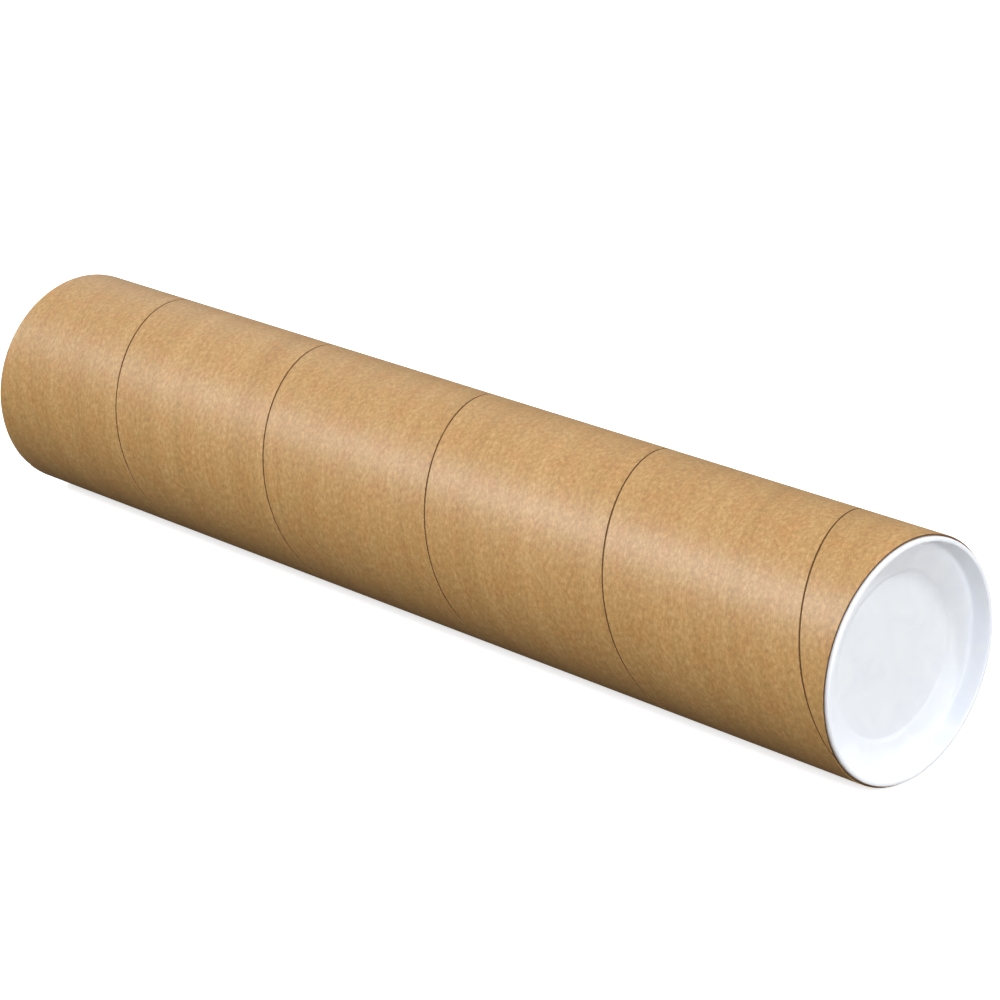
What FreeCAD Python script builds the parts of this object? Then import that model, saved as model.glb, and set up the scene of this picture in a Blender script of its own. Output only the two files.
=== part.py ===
"""Drawing tube: a spiral-wound paperboard tube closed by a push-in plastic cap at each end.

Millimetres. The tube lies along X with +Z up, and the origin is on the surface it lies on, below the
middle of its length. The near cap closes the +X end and the far cap the -X end.

The tube is five paper strips wound one over another on the same right-handed helix and glued: a kraft
liner, three chipboard plies and a kraft wrap. A strip's edges stop just short of one another, so every
ply is a ring with one thin helical seam, and the seams of neighbouring plies lie two fifths of a pitch
apart. Each cap is a thin moulded dish. Its lip rests on the tube's cut end, two friction beads round
its plug wall grip the bore, and its recess has a low ridge at the wall's foot and a sunk round floor.

Every sub-part is drawn standing on its own Z axis and laid along X by its Placement.
"""

import FreeCAD
import Part
import Sketcher
import os

DOCUMENT_NAME = "DrawingTube"
SHEET_NAME = "size"
OUTPUT_FOLDER = "parts"

# alias, value in millimetres, meaning
DIMENSIONS = [
    ("tube_length", 660.4, "cut length of the tube"),
    ("bore_radius", 63.5, "inside radius of the tube"),
    ("liner_thickness", 0.254, "kraft paper inside the tube"),
    ("board_thickness", 0.508, "each of the three chipboard plies"),
    ("wrap_thickness", 0.254, "kraft paper outside the tube"),
    ("seam_pitch", 132.9, "advance of a seam along the tube in one turn"),
    ("wrap_seam_lead", 82.4, "distance from the far end back to the start of the wrap's seam"),
    ("seam_stagger", 53.2, "further lead of each ply's seam over the ply outside it"),
    ("wrap_seam_gap", 1.2, "width of the wrap's seam along the tube"),
    ("inner_seam_gap", 1.0, "width of every other ply's seam along the tube"),
    ("cutter_overlap", 0.1, "how far a seam cutter reaches past a ply's two faces"),
    ("lip_radius", 64.3, "outside radius of a cap's lip"),
    ("lip_thickness", 2.4, "height of the lip above the cut end"),
    ("lip_rounding", 0.8, "rounding of the lip's outer edge"),
    ("mouth_radius", 61.9, "radius of the recess at the lip"),
    ("mouth_rounding", 0.6, "rounding of the recess's mouth"),
    ("plug_radius", 63.25, "radius of the plug wall, 0.25 under the bore"),
    ("bead_radius", 63.45, "radius of a friction bead's crest, 0.05 under the bore"),
    ("bead_half_width", 1.2, "half the width of a friction bead along the plug"),
    ("upper_bead_depth", 5.0, "depth of the upper friction bead below the cut end"),
    ("lower_bead_depth", 12.0, "depth of the lower friction bead below the cut end"),
    ("tip_radius", 61.9, "radius of the plug wall at its tip, smaller so that it starts easily"),
    ("tip_depth", 22.0, "how far the plug wall reaches into the tube"),
    ("foot_radius", 60.4, "radius at the foot of the recess's wall"),
    ("foot_depth", 8.2, "depth of that foot below the cut end"),
    ("foot_rounding", 1.5, "rounding of that foot"),
    ("ridge_radius", 57.0, "radius of the low ridge inside the foot"),
    ("ridge_depth", 7.7, "depth of the ridge below the cut end"),
    ("ridge_rounding", 1.2, "rounding of the ridge"),
    ("step_radius", 45.4, "radius at the top of the short step round the floor"),
    ("step_depth", 9.4, "depth of the top of that step below the cut end"),
    ("step_rounding", 2.0, "rounding of the top of that step"),
    ("floor_radius", 43.0, "radius of the recess's flat floor before rounding"),
    ("floor_depth", 10.2, "depth of the recess's floor below the cut end"),
    ("floor_rounding", 2.0, "rounding where the step meets the floor"),
    ("cap_wall", 1.3, "thickness of a cap's walls and floor"),
]

# label, inner radius, outer radius, seam gap; from the outside in, so that each ply's place in the list
# counts how many staggers its seam leads the wrap's seam by
PLIES = [
    (
        "outer_kraft_wrap",
        "size.bore_radius + size.liner_thickness + 3 * size.board_thickness",
        "size.bore_radius + size.liner_thickness + 3 * size.board_thickness + size.wrap_thickness",
        "size.wrap_seam_gap",
    ),
    (
        "outer_board_ply",
        "size.bore_radius + size.liner_thickness + 2 * size.board_thickness",
        "size.bore_radius + size.liner_thickness + 3 * size.board_thickness",
        "size.inner_seam_gap",
    ),
    (
        "middle_board_ply",
        "size.bore_radius + size.liner_thickness + size.board_thickness",
        "size.bore_radius + size.liner_thickness + 2 * size.board_thickness",
        "size.inner_seam_gap",
    ),
    (
        "inner_board_ply",
        "size.bore_radius + size.liner_thickness",
        "size.bore_radius + size.liner_thickness + size.board_thickness",
        "size.inner_seam_gap",
    ),
    (
        "inner_kraft_liner",
        "size.bore_radius",
        "size.bore_radius + size.liner_thickness",
        "size.inner_seam_gap",
    ),
]
TUBE_RADIUS = PLIES[0][2]

# The outline of half a cap's section, as radius and height above the cut end: from the middle of the
# floor's upper side out to the lip, down the plug wall, and back along the underside to the middle.
CAP_OUTLINE = [
    ("0", "-size.floor_depth"),
    ("size.floor_radius", "-size.floor_depth"),
    ("size.step_radius", "-size.step_depth"),
    ("size.ridge_radius", "-size.ridge_depth"),
    ("size.foot_radius", "-size.foot_depth"),
    ("size.mouth_radius", "size.lip_thickness"),
    ("size.lip_radius", "size.lip_thickness"),
    ("size.lip_radius", "0"),
    ("size.plug_radius", "0"),
    ("size.plug_radius", "size.bead_half_width - size.upper_bead_depth"),
    ("size.bead_radius", "-size.upper_bead_depth"),
    ("size.plug_radius", "-size.bead_half_width - size.upper_bead_depth"),
    ("size.plug_radius", "size.bead_half_width - size.lower_bead_depth"),
    ("size.bead_radius", "-size.lower_bead_depth"),
    ("size.plug_radius", "-size.bead_half_width - size.lower_bead_depth"),
    ("size.tip_radius", "-size.tip_depth"),
    ("size.tip_radius - size.cap_wall", "-size.tip_depth"),
    ("size.ridge_radius + size.cap_wall", "-size.ridge_depth - size.cap_wall"),
    ("size.step_radius + size.cap_wall", "-size.step_depth - size.cap_wall"),
    ("size.floor_radius + size.cap_wall", "-size.floor_depth - size.cap_wall"),
    ("0", "-size.floor_depth - size.cap_wall"),
]

# radius and height of a corner of that outline, and the radius it is rounded to
CAP_ROUNDINGS = [
    ("floor_radius", "-size.floor_depth", "floor_rounding"),
    ("step_radius", "-size.step_depth", "step_rounding"),
    ("ridge_radius", "-size.ridge_depth", "ridge_rounding"),
    ("foot_radius", "-size.foot_depth", "foot_rounding"),
    ("mouth_radius", "size.lip_thickness", "mouth_rounding"),
    ("lip_radius", "size.lip_thickness", "lip_rounding"),
]

# Sketcher's numbers for the sketch's own origin and axis, and for the ends of a line
ORIGIN = (-1, 1)
VERTICAL_AXIS = -2
START = 1
END = 2

NEARNESS = 1e-4
# a helix made in short segments is true enough for a thin cut
HELIX_SEGMENT_TURNS = 0.5
# a seam's cut may differ from the volume worked out for it by this share
SEAM_VOLUME_TOLERANCE = 0.02
# sketch X and Y become X and Z
UPRIGHT = FreeCAD.Rotation(FreeCAD.Vector(1, 0, 0), 90)
# X, Y, Z become Y, Z, X
TOWARDS_NEAR_END = FreeCAD.Rotation(FreeCAD.Vector(1, 1, 1), 120)
# X, Y, Z become -Y, Z, -X
TOWARDS_FAR_END = FreeCAD.Rotation(FreeCAD.Vector(0, 0, 1), 180) * TOWARDS_NEAR_END


def fill_sheet(document):
    """Put the driving dimensions in a spreadsheet, one row each: name, value, meaning."""
    sheet = document.addObject("Spreadsheet::Sheet", SHEET_NAME)
    for row, (alias, value, meaning) in enumerate(DIMENSIONS, start=1):
        sheet.set(f"A{row}", alias)
        sheet.set(f"B{row}", str(value))
        sheet.set(f"C{row}", meaning)
        sheet.setAlias(f"B{row}", alias)
    document.recompute()
    return sheet


def bind(item, property_name, formula):
    """Set a property to a formula's value now, and keep it bound to the formula."""
    setattr(item, property_name, float(item.evalExpression(formula)))
    item.setExpression(property_name, formula)


def draw_outline(sketch, points):
    """Draw a closed outline of straight lines whose corners are held at the given formulas."""
    corners = [
        FreeCAD.Vector(float(sketch.evalExpression(across)), float(sketch.evalExpression(along)), 0)
        for across, along in points
    ]
    count = len(corners)
    for index, corner in enumerate(corners):
        sketch.addGeometry(Part.LineSegment(corner, corners[(index + 1) % count]), False)
    for index in range(count):
        following = (index + 1) % count
        sketch.addConstraint(Sketcher.Constraint("Coincident", index, END, following, START))
    for index, (across, along) in enumerate(points):
        if across == "0":
            sketch.addConstraint(Sketcher.Constraint("PointOnObject", index, START, VERTICAL_AXIS))
        else:
            hold_corner(sketch, "DistanceX", index, corners[index].x, across)
        hold_corner(sketch, "DistanceY", index, corners[index].y, along)


def hold_corner(sketch, direction, index, value, formula):
    """Hold one corner's distance from the sketch's origin at a formula."""
    constraint = sketch.addConstraint(Sketcher.Constraint(direction, *ORIGIN, index, START, value))
    sketch.setExpression(f"Constraints[{constraint}]", formula)


def origin_plane(body, role):
    """Find one of a body's own origin planes by its role."""
    return next(feature for feature in body.Origin.OriginFeatures if feature.Role == role)


def lay(sub_part, along_tube, rotation):
    """Lay a sub-part along X with its own origin at a distance along the tube, on the tube's axis."""
    sub_part.Placement = FreeCAD.Placement(FreeCAD.Vector(0, 0, 0), rotation)
    sub_part.setExpression("Placement.Base.x", along_tube)
    sub_part.setExpression("Placement.Base.z", TUBE_RADIUS)


def cylinder(document, name, radius):
    """A solid cylinder as long as the tube."""
    solid = document.addObject("Part::Cylinder", name)
    solid.setExpression("Radius", radius)
    solid.setExpression("Height", "size.tube_length")
    return solid


def seam_cutter(document, label, inner, outer, gap, staggers):
    """A thin helical band that cuts one ply's seam from before the far end to past the near end."""
    start = f"-mod(size.wrap_seam_lead + {staggers} * size.seam_stagger; size.seam_pitch)"
    section = document.addObject("Sketcher::SketchObject", label + "_seam_section")
    section.Placement = FreeCAD.Placement(FreeCAD.Vector(0, 0, 0), UPRIGHT)
    inside = f"{inner} - size.cutter_overlap"
    outside = f"{outer} + size.cutter_overlap"
    below = f"{start} - {gap} / 2"
    above = f"{start} + {gap} / 2"
    draw_outline(section, [(inside, below), (outside, below), (outside, above), (inside, above)])

    path = document.addObject("Part::Helix", label + "_seam_path")
    bind(path, "Pitch", "size.seam_pitch")
    bind(path, "Height", "size.tube_length + 1.1 * size.seam_pitch")
    bind(path, "Radius", f"({inner} + {outer}) / 2")
    path.SegmentLength = HELIX_SEGMENT_TURNS
    path.setExpression("Placement.Base.z", start)

    cutter = document.addObject("Part::Sweep", label + "_seam")
    cutter.Sections = [section]
    cutter.Spine = (path, [])
    cutter.Solid = True
    cutter.Frenet = True
    return cutter


def wound_ply(document, label, inner, outer, gap, staggers):
    """One paper strip of the tube: a ring cut through by its own helical seam."""
    ring = document.addObject("Part::Cut", label + "_ring")
    ring.Base = cylinder(document, label + "_outside", outer)
    ring.Tool = cylinder(document, label + "_inside", inner)

    ply = document.addObject("Part::Cut", label)
    ply.Label = label
    ply.Base = ring
    ply.Tool = seam_cutter(document, label, inner, outer, gap, staggers)
    lay(ply, "-size.tube_length / 2", TOWARDS_NEAR_END)
    return ply


def check_seam(sheet, ply, inner, outer, gap):
    """Stop if the seam cut from a ply isn't as large as its section times its length."""
    section = f"{gap} * ({outer} - ({inner}))"
    turn = f"pi * ({outer} + {inner})"
    expected = float(sheet.evalExpression(f"{section} * {turn} * size.tube_length / size.seam_pitch"))
    removed = ply.Base.Shape.Volume - ply.Shape.Volume
    if abs(removed - expected) > SEAM_VOLUME_TOLERANCE * expected:
        raise RuntimeError(f"{ply.Label}'s seam removed {removed:.1f} mm3, not {expected:.1f} mm3")


def corner_edge(shape, radius, height):
    """Name the circular edge about the Z axis that has the given radius and height."""
    for number, edge in enumerate(shape.Edges, start=1):
        is_circle = isinstance(edge.Curve, Part.Circle)
        if is_circle and abs(edge.Curve.Radius - radius) + abs(edge.Curve.Center.z - height) < NEARNESS:
            return f"Edge{number}"
    raise RuntimeError(f"no circular edge of radius {radius} at height {height}")


def end_cap(document, sheet, label, along_tube, rotation):
    """One moulded cap: its section turned about Z, then the recess's and the lip's corners rounded."""
    cap = document.addObject("PartDesign::Body", label)
    cap.Label = label
    section = cap.newObject("Sketcher::SketchObject", label + "_section")
    section.AttachmentSupport = [(origin_plane(cap, "XZ_Plane"), "")]
    section.MapMode = "FlatFace"
    draw_outline(section, CAP_OUTLINE)

    moulding = cap.newObject("PartDesign::Revolution", label + "_moulding")
    moulding.Profile = section
    moulding.ReferenceAxis = (section, ["V_Axis"])
    moulding.Angle = 360
    document.recompute()

    rounded = moulding
    for corner_radius, corner_height, rounding in CAP_ROUNDINGS:
        radius = float(sheet.evalExpression("size." + corner_radius))
        height = float(sheet.evalExpression(corner_height))
        edge = corner_edge(rounded.Shape, radius, height)
        fillet = cap.newObject("PartDesign::Fillet", f"{label}_{rounding}")
        fillet.Base = (rounded, [edge])
        fillet.setExpression("Radius", "size." + rounding)
        document.recompute()
        rounded = fillet
    lay(cap, along_tube, rotation)
    return cap


def check_sound(document, sub_parts):
    """Stop if any object failed to build, or if a sub-part isn't exactly one valid solid."""
    for item in document.Objects:
        if "Invalid" in item.State or "Error" in item.State:
            raise RuntimeError(f"{item.Name} failed to build: {item.State}")
    for sub_part in sub_parts:
        shape = sub_part.Shape
        if shape.isNull() or not shape.isValid() or len(shape.Solids) != 1:
            raise RuntimeError(f"{sub_part.Label} isn't one valid solid")


def main():
    document = FreeCAD.newDocument(DOCUMENT_NAME)
    sheet = fill_sheet(document)
    sub_parts = []
    for staggers, (label, inner, outer, gap) in enumerate(PLIES):
        ply = wound_ply(document, label, inner, outer, gap, staggers)
        document.recompute()
        check_seam(sheet, ply, inner, outer, gap)
        sub_parts.append(ply)
    sub_parts.append(end_cap(document, sheet, "near_end_cap", "size.tube_length / 2", TOWARDS_NEAR_END))
    sub_parts.append(end_cap(document, sheet, "far_end_cap", "-size.tube_length / 2", TOWARDS_FAR_END))
    document.recompute()
    check_sound(document, sub_parts)

    os.makedirs(OUTPUT_FOLDER, exist_ok=True)
    for sub_part in sub_parts:
        sub_part.Shape.exportStep(f"{OUTPUT_FOLDER}/{sub_part.Label}.step")
        box = sub_part.Shape.optimalBoundingBox()
        print(f"{sub_part.Label}: {sub_part.Shape.Volume:.1f} mm3", box)


main()
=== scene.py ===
"""Drawing tube, laid on a pale floor: five spiral-wound paper strips and two moulded end caps.

Metres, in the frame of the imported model: X along the tube towards the near cap, Z up. Every paper strip and
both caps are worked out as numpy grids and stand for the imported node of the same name. The winding's pitch
and lead and the caps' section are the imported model's own; outer radii and lengths are read from its boxes.
"""

import math

import bpy
import numpy as np
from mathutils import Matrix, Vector


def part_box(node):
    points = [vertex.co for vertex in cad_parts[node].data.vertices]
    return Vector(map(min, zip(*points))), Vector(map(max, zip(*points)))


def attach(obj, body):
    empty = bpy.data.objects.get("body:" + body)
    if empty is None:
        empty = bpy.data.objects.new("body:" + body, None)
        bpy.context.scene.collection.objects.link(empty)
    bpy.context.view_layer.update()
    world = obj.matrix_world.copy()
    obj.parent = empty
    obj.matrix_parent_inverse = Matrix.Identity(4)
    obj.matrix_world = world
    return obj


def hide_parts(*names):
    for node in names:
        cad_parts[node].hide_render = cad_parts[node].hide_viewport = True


MM = 0.001
TURN = 2 * math.pi

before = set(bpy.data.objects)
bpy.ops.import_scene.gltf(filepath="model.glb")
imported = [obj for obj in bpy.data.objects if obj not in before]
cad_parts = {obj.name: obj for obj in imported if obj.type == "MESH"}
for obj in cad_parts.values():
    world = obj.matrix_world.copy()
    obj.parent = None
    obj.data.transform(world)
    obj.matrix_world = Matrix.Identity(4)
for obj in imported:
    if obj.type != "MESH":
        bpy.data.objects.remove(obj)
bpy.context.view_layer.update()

wrap_low, wrap_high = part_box("outer_kraft_wrap")
TUBE_END = wrap_high[0]
AXIS_HEIGHT = (wrap_high[2] + wrap_low[2]) / 2

# Winding: all five strips share one right-handed pitch, and each leads the one outside it by the stagger.
PITCH = 132.9 * MM
WRAP_LEAD = 82.4 * MM
STAGGER = 53.2 * MM
WRAP_GAP = 1.2 * MM
INNER_GAP = 1.0 * MM
STEPS_PER_TURN = 180
STRIP_POINTS = 6

# A strip tapers to a point where its seam meets a cut end; it stops at this width, so as to stay a sheet.
LEAST_WIDTH = 0.4 * MM

# Cut paper: a strip's edge wanders from a true helix in a slow wave and a quicker, lower one. Their waves
# per turn aren't whole numbers, so no turn repeats the last, and the lead shifts the quick wave by strip.
EDGE_WANDER = 0.06 * MM
SLOW_WAVES = 3.1
QUICK_WAVES = 7.3
QUICK_SHARE = 0.6
SHIFT_PER_METRE = 90

# Strips from the outside in; each one's outer radius is read from its box.
STRIPS = ["outer_kraft_wrap", "outer_board_ply", "middle_board_ply", "inner_board_ply", "inner_kraft_liner"]
BORE_RADIUS = 63.5 * MM

# Kraft paper: how much the fibres and streaks count beside the clouds, and how far tones spread.
FIBRE_SHARE = 0.45
STREAK_SHARE = 0.35
TONE_SPREAD = 0.29

# Cap section: radius, height above the cut end, rounding of that corner, from the middle of the recess's
# floor over the ridge, the wall and the lip, down the plug with its two beads, and back under the floor.
CAP_SECTION = np.array(
    [
        (0.0, -10.2, 0.0),
        (43.0, -10.2, 2.0),
        (45.4, -9.4, 2.0),
        (57.0, -7.7, 1.2),
        (60.4, -8.2, 1.5),
        (61.9, 2.4, 0.6),
        (64.3, 2.4, 0.8),
        (64.3, 0.0, 0.1),
        (63.25, 0.0, 0.1),
        (63.25, -3.8, 0.6),
        (63.45, -5.0, 0.9),
        (63.25, -6.2, 0.6),
        (63.25, -10.8, 0.6),
        (63.45, -12.0, 0.9),
        (63.25, -13.2, 0.6),
        (61.9, -22.0, 0.4),
        (60.6, -22.0, 0.4),
        (58.3, -9.0, 0.6),
        (46.7, -10.7, 0.8),
        (44.3, -11.5, 0.8),
        (0.0, -11.5, 0.0),
    ]
) * MM
ARC_STEPS = 8
CAP_STEPS = 360

# Faces that meet at more than this angle show a sharp edge.
PAPER_EDGE = math.radians(35)
MOULDED_EDGE = math.radians(60)

# Stage: half the floor's width, the floor's glow to the camera alone, and the white surround's strength.
FLOOR_REACH = 12.0
FLOOR_GLOW = 0.7
STUDIO_FILL = 0.32

# Camera: the way it looks in, its place, and its lens on a sensor of this width.
VIEW_AZIMUTH = math.radians(45.60)
VIEW_ELEVATION = math.radians(19.41)
CAMERA_PLACE = (1.3125, -1.2457, 0.7047)
LENS_MM = 123.2
SENSOR_MM = 36


# ---------------------------------------------------------------- meshes


def piece_from(name, points, faces, sharp, uv=None):
    """Make one closed piece at the origin from an array of points, a list of faces and corner UVs."""
    mesh = bpy.data.meshes.new(name)
    mesh.from_pydata(points.reshape(-1, 3), [], faces)
    if uv is not None:
        layer = mesh.uv_layers.new(name="paper")
        layer.data.foreach_set("uv", uv.astype(np.float32).ravel())
    mesh.shade_smooth()
    mesh.set_sharp_from_angle(angle=sharp)
    mesh.update()
    piece = bpy.data.objects.new(name, mesh)
    bpy.context.collection.objects.link(piece)
    return piece


def ring_faces(rows, columns):
    """Quads of a tube-like grid: consecutive rows, joined round the columns."""
    row = np.arange(rows - 1)[:, None]
    column = np.arange(columns)[None, :]
    after = (column + 1) % columns
    first = row * columns
    second = first + columns
    quads = np.stack([first + column, second + column, second + after, first + after], axis=-1)
    return quads.reshape(-1, 4)


def wound_strip(name, inner, outer, gap, lead):
    """One helical paper strip with its real thickness.

    At winding angle a, counted from +Y towards +Z, the seam lies at a / turn x pitch - lead from the far
    end. The strip runs from that seam plus half a gap to the next seam less half a gap, both held between
    the tube's two cut ends. A loop round the strip's section is carried along a. Both edges wander by the
    same sum of two sine waves of a.
    """
    begin = (lead - PITCH + gap / 2 + LEAST_WIDTH) * TURN / PITCH
    finish = (2 * TUBE_END + lead - gap / 2 - LEAST_WIDTH) * TURN / PITCH
    steps = int((finish - begin) / TURN * STEPS_PER_TURN) + 1
    angle = np.linspace(begin, finish, steps)[:, None]

    share = np.linspace(0, 1, STRIP_POINTS)
    side = np.concatenate([share, share[::-1]])
    radius = np.concatenate([np.full(STRIP_POINTS, outer), np.full(STRIP_POINTS, inner)])[None, :]

    seam = angle * PITCH / TURN - lead - TUBE_END
    quick = np.sin(QUICK_WAVES * angle + lead * SHIFT_PER_METRE)
    wander = EDGE_WANDER * (np.sin(SLOW_WAVES * angle) + QUICK_SHARE * quick)
    low = np.clip(seam + gap / 2 + wander, -TUBE_END, TUBE_END)
    high = np.clip(seam + PITCH - gap / 2 + wander, -TUBE_END, TUBE_END)
    along = low + (high - low) * side[None, :]

    spread = np.broadcast_to(radius, along.shape)
    points = np.stack([along, spread * np.cos(angle), AXIS_HEIGHT + spread * np.sin(angle)], axis=-1)
    columns = 2 * STRIP_POINTS
    quads = ring_faces(steps, columns)
    start = np.arange(columns)
    stop = (steps - 1) * columns + start[::-1]
    faces = quads.tolist() + [start.tolist(), stop.tolist()]

    # UV in metres: along the strip's own direction and across it
    rise = math.atan2(PITCH / TURN, outer)
    around = angle * outer
    run = around * math.cos(rise) + along * math.sin(rise)
    rest = along * math.cos(rise) - around * math.sin(rise)
    place = np.stack([run, rest], axis=-1).reshape(-1, 2)
    corners = np.concatenate([quads.ravel(), start, stop])
    return piece_from(name, points, faces, PAPER_EDGE, place[corners])


def rounded_outline(section):
    """Round an outline's corners.

    At a corner whose two sides meet at an interior half angle h, an arc of radius r touches both sides at
    r / tan(h) from the corner and its centre lies at r / sin(h) along the bisector; the arc is traced by
    turning the first touching radius towards the second in even steps.
    """
    outline = []
    for index, (corner, radius) in enumerate(zip(section[:, :2], section[:, 2])):
        if radius == 0:
            outline.append(corner[None, :])
            continue
        back = section[index - 1, :2] - corner
        ahead = section[index + 1, :2] - corner
        back = back / np.linalg.norm(back)
        ahead = ahead / np.linalg.norm(ahead)
        half = math.acos(np.clip(back @ ahead, -1, 1)) / 2
        middle = (back + ahead) / np.linalg.norm(back + ahead)
        centre = corner + middle * radius / math.sin(half)
        first = corner + back * radius / math.tan(half) - centre
        last = corner + ahead * radius / math.tan(half) - centre
        sweep = math.acos(np.clip(first @ last / radius**2, -1, 1))
        share = np.linspace(0, 1, ARC_STEPS + 1)[:, None]
        arc = (np.sin((1 - share) * sweep) * first + np.sin(share * sweep) * last) / math.sin(sweep)
        outline.append(centre + arc)
    return np.concatenate(outline)


def moulded_cap(name, end):
    """One cap: the rounded section turned about the tube's axis, closed by one point at each pole.

    The section runs from the middle of the recess's floor out to the lip and back under the cap, so each
    of its points but the first and last becomes a circle. end is +1 for the near cap, -1 for the far one.
    """
    outline = rounded_outline(CAP_SECTION)
    rings = outline[1:-1]
    angle = np.linspace(0, TURN, CAP_STEPS, endpoint=False)[None, :] * end
    radius = rings[:, 0][:, None]
    height = np.broadcast_to(end * (TUBE_END + rings[:, 1])[:, None], (len(rings), CAP_STEPS))
    body = np.stack([height, radius * np.cos(angle), AXIS_HEIGHT + radius * np.sin(angle)], axis=-1)
    poles = np.array([(end * (TUBE_END + outline[row, 1]), 0, AXIS_HEIGHT) for row in (0, -1)])
    points = np.concatenate([body.reshape(-1, 3), poles])

    quads = ring_faces(len(rings), CAP_STEPS)
    here = np.arange(CAP_STEPS)
    after = (here + 1) % CAP_STEPS
    last = (len(rings) - 1) * CAP_STEPS
    top_pole = np.full(CAP_STEPS, len(rings) * CAP_STEPS)
    top = np.stack([top_pole, here, after], axis=-1)
    under = np.stack([top_pole + 1, last + after, last + here], axis=-1)
    return piece_from(name, points, quads.tolist() + top.tolist() + under.tolist(), MOULDED_EDGE)


# ---------------------------------------------------------------- materials


def colour(hex_code):
    """Turn an sRGB hex colour to the linear, opaque one that a shader takes."""
    parts = [int(hex_code[i : i + 2], 16) / 255 for i in (1, 3, 5)]
    return tuple(c / 12.92 if c <= 0.04045 else ((c + 0.055) / 1.055) ** 2.4 for c in parts) + (1.0,)


def add(tree, kind, settings=None, links=None):
    """Add one node: settings name its own properties or its input sockets, links name inputs."""
    node = tree.nodes.new(kind)
    for name, value in (settings or {}).items():
        if isinstance(name, str) and hasattr(node, name):
            setattr(node, name, value)
        else:
            node.inputs[name].default_value = value
    for name, socket in (links or {}).items():
        tree.links.new(socket, node.inputs[name])
    return node


def new_material(name):
    """A material with one Principled shader on its output."""
    material = bpy.data.materials.new(name)
    material.use_nodes = True
    tree = material.node_tree
    tree.nodes.clear()
    shader = add(tree, "ShaderNodeBsdfPrincipled")
    add(tree, "ShaderNodeOutputMaterial", links={"Surface": shader.outputs["BSDF"]})
    return material, tree, shader


def kraft_paper(name, base, dark, light):
    """Unbleached kraft paper, machine made and calendered: a low sheen, cloudy formation and long fibres."""
    material, tree, shader = new_material(name)
    place = add(tree, "ShaderNodeUVMap", {"uv_map": "paper"}).outputs["UV"]
    # three noises, each with a length along the strip and a width across it:
    # formation, where the pulp gathers in clouds 1 mm to 3 mm across, a little longer along the strip;
    # fibres 2 mm long, drawn 0.8 mm wide, twenty times too coarse, so that they show;
    # streaks, faint bands 12 mm wide that run along the strip
    layers = []
    sizes = ((3.2, 2.4, 5.0, 0.68), (2.0, 0.8, 3.0, 0.6), (300, 12, 3.0, 0.5))
    for along, across, detail, roughness in sizes:
        stretch = {"Scale": (1 / (along * MM), 1 / (across * MM), 1)}
        drawn = add(tree, "ShaderNodeMapping", stretch, {"Vector": place})
        grain = {"Scale": 1.0, "Detail": detail, "Roughness": roughness}
        noise = add(tree, "ShaderNodeTexNoise", grain, {"Vector": drawn.outputs["Vector"]})
        layers.append(noise.outputs["Fac"])
    cloud, fibre, streak = layers
    paper = add(
        tree,
        "ShaderNodeMath",
        {"operation": "MULTIPLY_ADD", 1: FIBRE_SHARE},
        {0: fibre, 2: cloud},
    ).outputs["Value"]
    tone = add(
        tree,
        "ShaderNodeMath",
        {"operation": "MULTIPLY_ADD", 1: STREAK_SHARE},
        {0: streak, 2: paper},
    ).outputs["Value"]
    middle = (1 + FIBRE_SHARE + STREAK_SHARE) / 2
    share = add(
        tree,
        "ShaderNodeMapRange",
        {"From Min": middle - TONE_SPREAD, "From Max": middle + TONE_SPREAD},
        {"Value": tone},
    )
    ramp = add(tree, "ShaderNodeValToRGB", links={"Fac": share.outputs["Result"]})
    stops = ramp.color_ramp.elements
    stops[0].color = colour(dark)
    stops[1].color = colour(light)
    stops.new(0.5).color = colour(base)
    # patches: the pulp is a little redder in places 10 mm to 20 mm across
    patch = add(
        tree,
        "ShaderNodeTexNoise",
        {"Scale": 1 / (14 * MM), "Detail": 2.0, "Roughness": 0.5},
        {"Vector": place},
    )
    redness = add(
        tree,
        "ShaderNodeMapRange",
        {"From Min": 0.42, "From Max": 0.66, "To Min": 0.0, "To Max": 0.8},
        {"Value": patch.outputs["Fac"]},
    )
    tinted = add(
        tree,
        "ShaderNodeMixRGB",
        {"blend_type": "MULTIPLY", "Color2": colour("#fff4ee")},
        {"Fac": redness.outputs["Result"], "Color1": ramp.outputs["Color"]},
    )
    tree.links.new(tinted.outputs["Color"], shader.inputs["Base Color"])
    bump = add(tree, "ShaderNodeBump", {"Strength": 0.45, "Distance": 0.1 * MM}, {"Height": paper})
    tree.links.new(bump.outputs["Normal"], shader.inputs["Normal"])
    shader.inputs["Roughness"].default_value = 0.46
    shader.inputs["IOR"].default_value = 1.5
    shader.inputs["Specular IOR Level"].default_value = 0.8
    return material


def chipboard(name):
    """Recycled chipboard, uncoated: grey-brown and fuzzy, and darker all over than bare board, as painted
    shade for where it shows in the seam gaps between the wrap's strips and at the cut ends.
    """
    material, tree, shader = new_material(name)
    place = add(tree, "ShaderNodeTexCoord").outputs["Object"]
    # grain: clumps of short fibre 0.8 mm across
    grain = add(
        tree,
        "ShaderNodeTexNoise",
        {"Scale": 1 / (0.8 * MM), "Detail": 4.0, "Roughness": 0.65},
        {"Vector": place},
    )
    # the ramp's two browns are darker than bare chipboard: painted shade, so that the seam gaps and cut ends
    # read dark
    ramp = add(tree, "ShaderNodeValToRGB", links={"Fac": grain.outputs["Fac"]})
    ramp.color_ramp.elements[0].position = 0.3
    ramp.color_ramp.elements[1].position = 0.7
    ramp.color_ramp.elements[0].color = colour("#452d17")
    ramp.color_ramp.elements[1].color = colour("#6e4f2d")
    tree.links.new(ramp.outputs["Color"], shader.inputs["Base Color"])
    bump = add(
        tree,
        "ShaderNodeBump",
        {"Strength": 0.6, "Distance": 0.1 * MM},
        {"Height": grain.outputs["Fac"]},
    )
    tree.links.new(bump.outputs["Normal"], shader.inputs["Normal"])
    shader.inputs["Roughness"].default_value = 0.9
    shader.inputs["IOR"].default_value = 1.45
    return material


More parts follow.
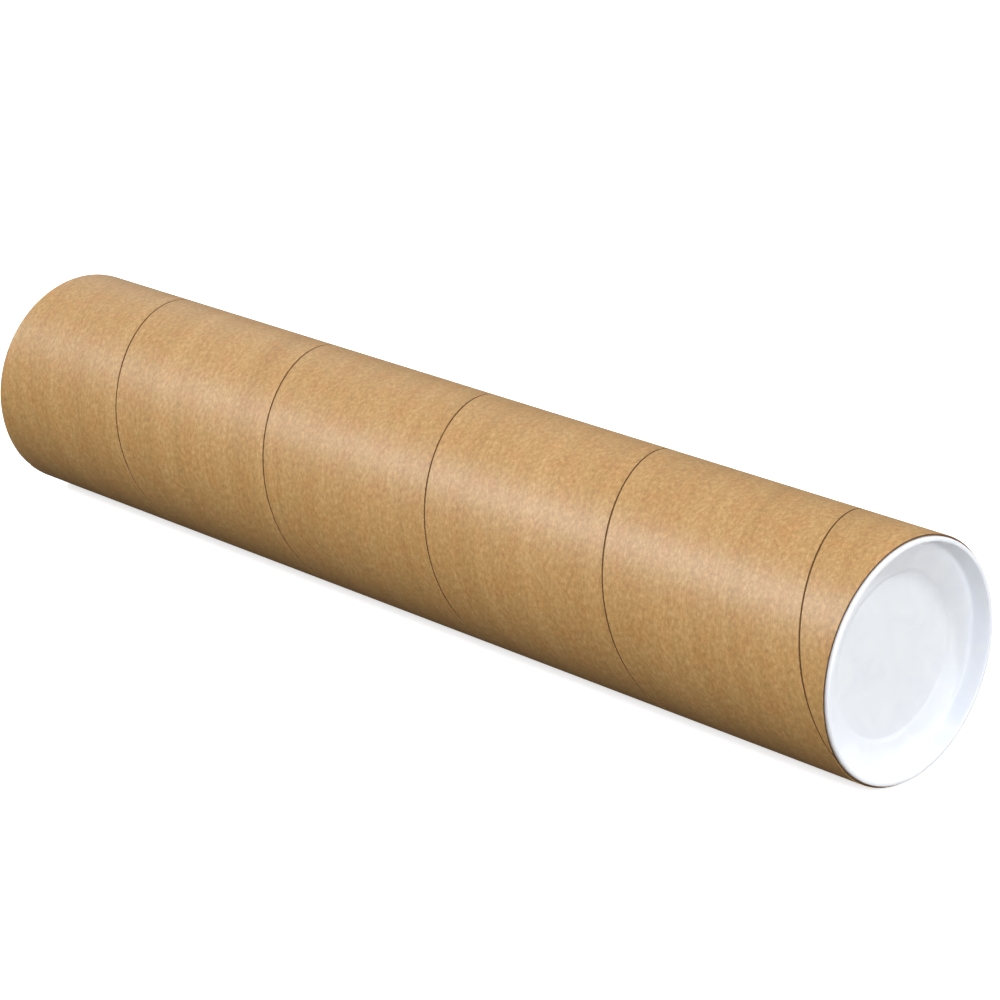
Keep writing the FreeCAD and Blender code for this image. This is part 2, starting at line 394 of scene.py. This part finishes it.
def moulded_polyethylene(name):
    """White low-density polyethylene, injection moulded: milky and waxy, a soft gloss, faint flow marks."""
    material, tree, shader = new_material(name)
    place = add(tree, "ShaderNodeTexCoord").outputs["Object"]
    # texture: a fine waviness taken from the mould, 1.5 mm across
    texture = add(
        tree,
        "ShaderNodeTexNoise",
        {"Scale": 1 / (1.5 * MM), "Detail": 3.0, "Roughness": 0.5},
        {"Vector": place},
    )
    # flow: where the melt ran, about 25 mm across, in both tint and gloss
    flow = add(
        tree,
        "ShaderNodeTexNoise",
        {"Scale": 1 / (25 * MM), "Detail": 2.0, "Distortion": 1.0},
        {"Vector": place},
    )
    ramp = add(tree, "ShaderNodeValToRGB", links={"Fac": flow.outputs["Fac"]})
    ramp.color_ramp.elements[0].position = 0.3
    ramp.color_ramp.elements[1].position = 0.7
    ramp.color_ramp.elements[0].color = colour("#ebeffa")
    ramp.color_ramp.elements[1].color = colour("#f2f5fd")
    tree.links.new(ramp.outputs["Color"], shader.inputs["Base Color"])
    gloss = add(
        tree,
        "ShaderNodeMapRange",
        {"From Min": 0.3, "From Max": 0.7, "To Min": 0.3, "To Max": 0.42},
        {"Value": flow.outputs["Fac"]},
    )
    tree.links.new(gloss.outputs["Result"], shader.inputs["Roughness"])
    bump = add(
        tree,
        "ShaderNodeBump",
        {"Strength": 0.15, "Distance": 0.03 * MM},
        {"Height": texture.outputs["Fac"]},
    )
    tree.links.new(bump.outputs["Normal"], shader.inputs["Normal"])
    shader.inputs["IOR"].default_value = 1.51
    shader.inputs["Subsurface Weight"].default_value = 0.6
    shader.inputs["Subsurface Radius"].default_value = (1.0, 1.0, 1.1)
    shader.inputs["Subsurface Scale"].default_value = 4.0 * MM
    return material


def studio_sheet(name):
    """A matt pale sheet: white to the camera, but it throws little, slightly warm light back up."""
    material, tree, shader = new_material(name)
    shader.inputs["Roughness"].default_value = 0.9
    shader.inputs["Specular IOR Level"].default_value = 0.0
    seen = add(tree, "ShaderNodeLightPath").outputs["Is Camera Ray"]
    tints = {"Color1": colour("#78705f"), "Color2": colour("#fafafa")}
    bounce = add(tree, "ShaderNodeMixRGB", tints, {"Fac": seen})
    tree.links.new(bounce.outputs["Color"], shader.inputs["Base Color"])
    glow = add(tree, "ShaderNodeMath", {"operation": "MULTIPLY", 1: FLOOR_GLOW}, {0: seen})
    tree.links.new(glow.outputs["Value"], shader.inputs["Emission Strength"])
    shader.inputs["Emission Color"].default_value = colour("#ffffff")
    return material


# ---------------------------------------------------------------- the object

wrap_paper = kraft_paper("kraft_paper_machine_finished", "#b58c54", "#957140", "#d1aa74")
liner_paper = kraft_paper("kraft_paper_liner", "#b8946a", "#987349", "#ceb089")
# the chipboard is darkened all over as painted shade for the seam gaps and cut ends
board = chipboard("chipboard_painted_seam_shade")
plastic = moulded_polyethylene("polyethylene_injection_moulded")

outer_radii = [(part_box(node)[1][2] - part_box(node)[0][2]) / 2 for node in STRIPS]
inner_radii = outer_radii[1:] + [BORE_RADIUS]
for place, node in enumerate(STRIPS):
    gap = WRAP_GAP if place == 0 else INNER_GAP
    lead = (WRAP_LEAD + place * STAGGER) % PITCH
    strip = wound_strip("paper_" + node, inner_radii[place], outer_radii[place], gap, lead)
    paper = {"outer_kraft_wrap": wrap_paper, "inner_kraft_liner": liner_paper}.get(node, board)
    strip.data.materials.append(paper)
    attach(strip, "tube")
    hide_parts(node)

for node, body, end in (("near_end_cap", "near_cap", 1), ("far_end_cap", "far_cap", -1)):
    cap = moulded_cap("moulded_" + node, end)
    cap.data.materials.append(plastic)
    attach(cap, body)
    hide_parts(node)


# ---------------------------------------------------------------- stage, light, camera

floor_corners = [(x * FLOOR_REACH, y * FLOOR_REACH, 0) for x, y in ((-1, -1), (1, -1), (1, 1), (-1, 1))]
floor_mesh = bpy.data.meshes.new("floor")
floor_mesh.from_pydata(floor_corners, [], [(0, 1, 2, 3)])
floor_mesh.materials.append(studio_sheet("pale_studio_sheet"))
floor = bpy.data.objects.new("floor", floor_mesh)
bpy.context.collection.objects.link(floor)

world = bpy.data.worlds.new("studio")
bpy.context.scene.world = world
world.use_nodes = True
backdrop = world.node_tree.nodes["Background"]
backdrop.inputs["Color"].default_value = colour("#ffffff")
backdrop.inputs["Strength"].default_value = STUDIO_FILL


def softbox(name, place, aim, width, height, power):
    """A rectangular soft light at a place, facing a point, as cool as a studio flash."""
    light = bpy.data.lights.new(name, "AREA")
    light.shape = "RECTANGLE"
    light.size = width
    light.size_y = height
    light.energy = power
    light.color = colour("#f7faff")[:3]
    lamp = bpy.data.objects.new(name, light)
    lamp.location = place
    lamp.rotation_euler = (Vector(aim) - Vector(place)).to_track_quat("-Z", "Y").to_euler()
    bpy.context.collection.objects.link(lamp)


middle = (0, 0, AXIS_HEIGHT)
near_end = (TUBE_END, 0, AXIS_HEIGHT)
far_end = (-TUBE_END, 0, AXIS_HEIGHT)
softbox("side_softbox", (-1.0, -2.2, 2.05), middle, 3.4, 0.8, 82)
softbox("end_softbox", (3.4, -1.2, 1.3), near_end, 2.4, 2.4, 106)
softbox("corner_softbox", (1.6, 1.5, 2.0), near_end, 0.35, 0.35, 35)
softbox("far_softbox", (-3.3, 1.4, 1.5), far_end, 2.4, 2.4, 11)

camera_data = bpy.data.cameras.new("camera")
camera_data.lens = LENS_MM
camera_data.sensor_width = SENSOR_MM
camera = bpy.data.objects.new("camera", camera_data)
camera.location = CAMERA_PLACE
ahead = Vector(
    (
        -math.sin(VIEW_AZIMUTH) * math.cos(VIEW_ELEVATION),
        math.cos(VIEW_AZIMUTH) * math.cos(VIEW_ELEVATION),
        -math.sin(VIEW_ELEVATION),
    )
)
camera.rotation_euler = ahead.to_track_quat("-Z", "Y").to_euler()
bpy.context.collection.objects.link(camera)
bpy.context.scene.camera = camera
bpy.context.scene.view_settings.view_transform = "Standard"
